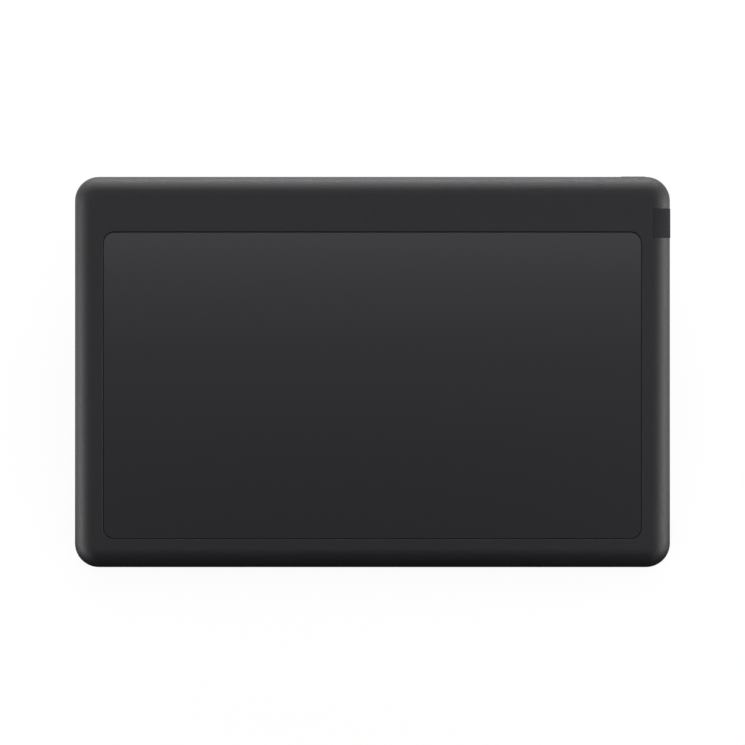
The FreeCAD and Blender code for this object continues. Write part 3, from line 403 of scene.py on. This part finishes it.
def tape_line():
    """Middle line of the tape in (x, z): out of the slot, over the shoulder, and back under itself."""
    cx, cz = HALF_WIDTH - SHOULDER, PARTING_Z
    start_x = HALF_WIDTH - SLOT_DEPTH
    half_gap = (OUTER_LAYER - INNER_LAYER) / 2
    low, high = SLOT_Z - half_gap, SLOT_Z + half_gap
    outer_x, inner_x = cx + OUTER_LAYER, cx + INNER_LAYER
    middle = (OUTER_LAYER + INNER_LAYER) / 2
    fold = (cx + middle * math.cos(LOOP_SWEEP), cz + middle * math.sin(LOOP_SWEEP))
    points = line_points((start_x, low), (outer_x - OUTER_BEND, low))
    points += arc_points(outer_x - OUTER_BEND, low + OUTER_BEND, OUTER_BEND, -math.pi / 2, 0)
    points += line_points((outer_x, low + OUTER_BEND), (outer_x, cz))
    points += arc_points(cx, cz, OUTER_LAYER, 0, LOOP_SWEEP)
    points += arc_points(*fold, half_gap, LOOP_SWEEP, LOOP_SWEEP + math.pi, FOLD_STEP)
    points += arc_points(cx, cz, INNER_LAYER, LOOP_SWEEP, 0)
    points += line_points((inner_x, cz), (inner_x, high + INNER_BEND))
    points += arc_points(inner_x - INNER_BEND, high + INNER_BEND, INNER_BEND, 0, -math.pi / 2)
    points += line_points((inner_x - INNER_BEND, high), (start_x, high))
    return points


def tape_section():
    """Outline of the tape across its width: (w, h, rib) with the rib's number for the weave."""
    inner_half = LOOP_WIDTH / 2 - SELVEDGE
    steps = RIBS * RIB_POINTS
    outline = []
    for side in (1, -1):
        for k in range(steps + 1):
            share = k / steps
            w = side * (2 * share - 1) * inner_half
            phase = (share * RIBS) % 1.0
            rise = RIB_HEIGHT * (1 - (2 * phase - 1) ** 2)
            outline.append((w, side * (TAPE / 2 - RIB_HEIGHT + rise), int(share * RIBS)))
        for turn in SELVEDGE_TURNS:
            a = math.radians(turn)
            w = side * (inner_half + SELVEDGE * math.cos(a))
            outline.append((w, side * math.sin(a) * TAPE / 2, 0))
    return outline


def lengths_along(line):
    """Length of the line up to each of its points."""
    lengths = [0.0]
    for a, b in zip(line, line[1:]):
        lengths.append(lengths[-1] + math.dist(a, b))
    return lengths


def tape_points(line, section, lengths):
    """The section set across every point of the line, with the weave's picks."""
    points = []
    for index, (x, z) in enumerate(line):
        before = line[max(index - 1, 0)]
        after = line[min(index + 1, len(line) - 1)]
        size = math.dist(before, after)
        tangent = ((after[0] - before[0]) / size, (after[1] - before[1]) / size)
        normal = (tangent[1], -tangent[0])
        wave = 2 * math.pi * lengths[index] / PICK
        for w, h, rib in section:
            lift = h + math.copysign(PICK_HEIGHT * math.cos(wave + math.pi * rib), h)
            points.append(place(x + normal[0] * lift, LOOP_Y + w, z + normal[1] * lift))
    return points


def tube_faces(rings, ring):
    """Faces of a closed tube of that many rings, with ring points in each."""
    faces = []
    for index in range(rings - 1):
        for k in range(ring):
            a = index * ring + k
            b = index * ring + (k + 1) % ring
            faces.append((a, b, b + ring, a + ring))
    faces.append(tuple(range(ring)))
    faces.append(tuple(reversed(range((rings - 1) * ring, rings * ring))))
    return faces


def make_webbing():
    """The woven tape, in place of the plain CAD band."""
    line = tape_line()
    section = tape_section()
    lengths = lengths_along(line)
    mesh = bpy.data.meshes.new("pen_loop_webbing")
    mesh.from_pydata(tape_points(line, section, lengths), [], tube_faces(len(line), len(section)))
    mesh.materials.append(WEBBING)
    mesh.update()
    for face in mesh.polygons:
        face.use_smooth = True
    webbing = link("pen_loop_webbing", mesh)
    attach(webbing, "case")
    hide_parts("pen_loop")


make_webbing()


# Camera, square to the glass

FRAME_PIXELS = 745
OUTLINE_PIXELS = 594.95
PIXEL = 2 * HALF_WIDTH / OUTLINE_PIXELS
AIM_X = 0.05 * PIXEL
AIM_Y = -0.5 * PIXEL
SENSOR = 36.0
LENS = 400.0
CLIP_END = 50.0


def add_camera():
    """Long lens whose frame is as wide as the photograph at the parting line."""
    data = bpy.data.cameras.new("camera")
    data.sensor_width = SENSOR
    data.lens = LENS
    data.clip_end = CLIP_END
    camera = link("camera", data)
    distance = FRAME_PIXELS * PIXEL * LENS / SENSOR
    camera.matrix_world = display_matrix(AIM_X, AIM_Y, PARTING_Z + distance)
    bpy.context.scene.camera = camera


add_camera()


# Studio

PURE_WHITE = (1, 1, 1, 1)
PURE_BLACK = (0, 0, 0, 1)
WORLD_FILL = 0.75
FLOOR_SIZE = 8.0
FLOOR_COLOUR = (0.8, 0.8, 0.8, 1)
FLOOR_GLOW = 0.92
FLOOR_GAP = 0.0005

# Soft lamps: name, place in the display's own millimetres, width and height in metres, watts

LAMPS = [
    ("lamp_front_top", (0, 400, 2000), 1.4, 0.4, 4.9),
    ("lamp_top_low", (0, 760, -150), 1.2, 0.2, 5.7),
    ("lamp_top_mid", (0, 640, 260), 1.0, 0.3, 1.75),
    ("lamp_left_low", (-700, -180, 60), 0.6, 0.15, 2.4),
    ("lamp_right_low", (700, -60, 60), 0.7, 0.15, 1.95),
    ("lamp_left_mid", (-700, -120, 300), 0.7, 0.3, 0.5),
    ("lamp_right_mid", (700, -60, 300), 0.7, 0.3, 1.3),
    ("lamp_left_high", (-640, 0, 850), 0.9, 0.4, 0.6),
    ("lamp_right_high", (640, 0, 850), 0.9, 0.4, 0.6),
]

# Black cards: name, width and length in metres, and where they stand

UPRIGHT = Matrix.Rotation(math.radians(90), 4, "X")
CARDS = [
    ("black_front_card", 5.4, 5.4, display_matrix(0, -300, 2200)),
    ("black_low_card", 3.0, 0.8, Matrix.Translation((0, -0.6, 0.35)) @ UPRIGHT),
    ("black_floor_card", 2.0, 0.76, Matrix.Translation((0, -0.52, FLOOR_GAP))),
    ("black_under_card", 0.46, 0.2, Matrix.Translation((0, -0.04, FLOOR_GAP))),
]


def seen_directly(tree):
    """Factor that is 1 for camera, glossy and transmission rays, and 0 for the rest."""
    path = tree.nodes.new("ShaderNodeLightPath")
    first = add(tree, "ShaderNodeMath", operation="MAXIMUM")
    second = add(tree, "ShaderNodeMath", operation="MAXIMUM")
    tree.links.new(path.outputs["Is Camera Ray"], first.inputs[0])
    tree.links.new(path.outputs["Is Glossy Ray"], first.inputs[1])
    tree.links.new(first.outputs[0], second.inputs[0])
    tree.links.new(path.outputs["Is Transmission Ray"], second.inputs[1])
    return second.outputs[0]


def mix_shaders(tree, factor, plain, other):
    """Mix of two shaders, all plain where the factor is 0."""
    mix = tree.nodes.new("ShaderNodeMixShader")
    tree.links.new(factor, mix.inputs[0])
    tree.links.new(plain.outputs[0], mix.inputs[1])
    tree.links.new(other.outputs[0], mix.inputs[2])
    return mix


def set_world():
    """World that looks plain white and lights the object a little less."""
    world = bpy.data.worlds.new("studio")
    bpy.context.scene.world = world
    world.use_nodes = True
    tree = world.node_tree
    tree.nodes.clear()
    seen = add(tree, "ShaderNodeBackground", Color=PURE_WHITE, Strength=1.0)
    fill = add(tree, "ShaderNodeBackground", Color=PURE_WHITE, Strength=WORLD_FILL)
    mix = mix_shaders(tree, seen_directly(tree), fill, seen)
    output = tree.nodes.new("ShaderNodeOutputWorld")
    tree.links.new(mix.outputs[0], output.inputs[0])


def floor_material():
    """Pale floor: near white to the camera, with a trace of shadow, and clear from below."""
    material = bpy.data.materials.new("floor")
    material.use_nodes = True
    tree = material.node_tree
    tree.nodes.clear()
    lit = add(tree, "ShaderNodeBsdfDiffuse", Color=FLOOR_COLOUR)
    glow = add(tree, "ShaderNodeEmission", Color=PURE_WHITE, Strength=1.0)
    clear = tree.nodes.new("ShaderNodeBsdfTransparent")
    share = add(tree, "ShaderNodeMath", operation="MULTIPLY")
    share.inputs[1].default_value = FLOOR_GLOW
    tree.links.new(seen_directly(tree), share.inputs[0])
    pale = mix_shaders(tree, share.outputs[0], lit, glow)
    geometry = tree.nodes.new("ShaderNodeNewGeometry")
    sided = mix_shaders(tree, geometry.outputs["Backfacing"], pale, clear)
    output = tree.nodes.new("ShaderNodeOutputMaterial")
    tree.links.new(sided.outputs[0], output.inputs[0])
    return material


def card_material():
    """Black studio card."""
    material, tree, shader = new_material("black_card")
    shader.inputs["Base Color"].default_value = PURE_BLACK
    shader.inputs["Roughness"].default_value = 1.0
    shader.inputs["Specular IOR Level"].default_value = 0.0
    return material


def flat_sheet(name, width, length, matrix, material):
    """Flat rectangle of the studio, for the floor and the cards."""
    mesh = bpy.data.meshes.new(name)
    w, h = width / 2, length / 2
    mesh.from_pydata([(-w, -h, 0), (w, -h, 0), (w, h, 0), (-w, h, 0)], [], [(0, 1, 2, 3)])
    mesh.materials.append(material)
    sheet = link(name, mesh)
    sheet.matrix_world = matrix
    return sheet


def only_reflected(card):
    """Let a card show in reflections only: it hides nothing and casts no shadow."""
    card.visible_camera = False
    card.visible_shadow = False
    card.visible_diffuse = False


def soft_light(name, position, width, height, power):
    """Soft rectangular lamp aimed at the middle of the glass."""
    data = bpy.data.lights.new(name, "AREA")
    data.shape = "RECTANGLE"
    data.size = width
    data.size_y = height
    data.energy = power
    lamp = link(name, data)
    start = place(*position)
    lamp.location = start
    lamp.rotation_euler = (place(0, 0, FRONT_Z) - start).to_track_quat("-Z", "Y").to_euler()


def set_studio():
    """World, floor, lamps and the black cards that keep the glass and the case dark."""
    set_world()
    flat_sheet("floor", FLOOR_SIZE, FLOOR_SIZE, Matrix.Identity(4), floor_material())
    for lamp in LAMPS:
        soft_light(*lamp)
    black = card_material()
    for card in CARDS:
        only_reflected(flat_sheet(*card, black))


set_studio()

bpy.context.scene.view_settings.view_transform = "Standard"
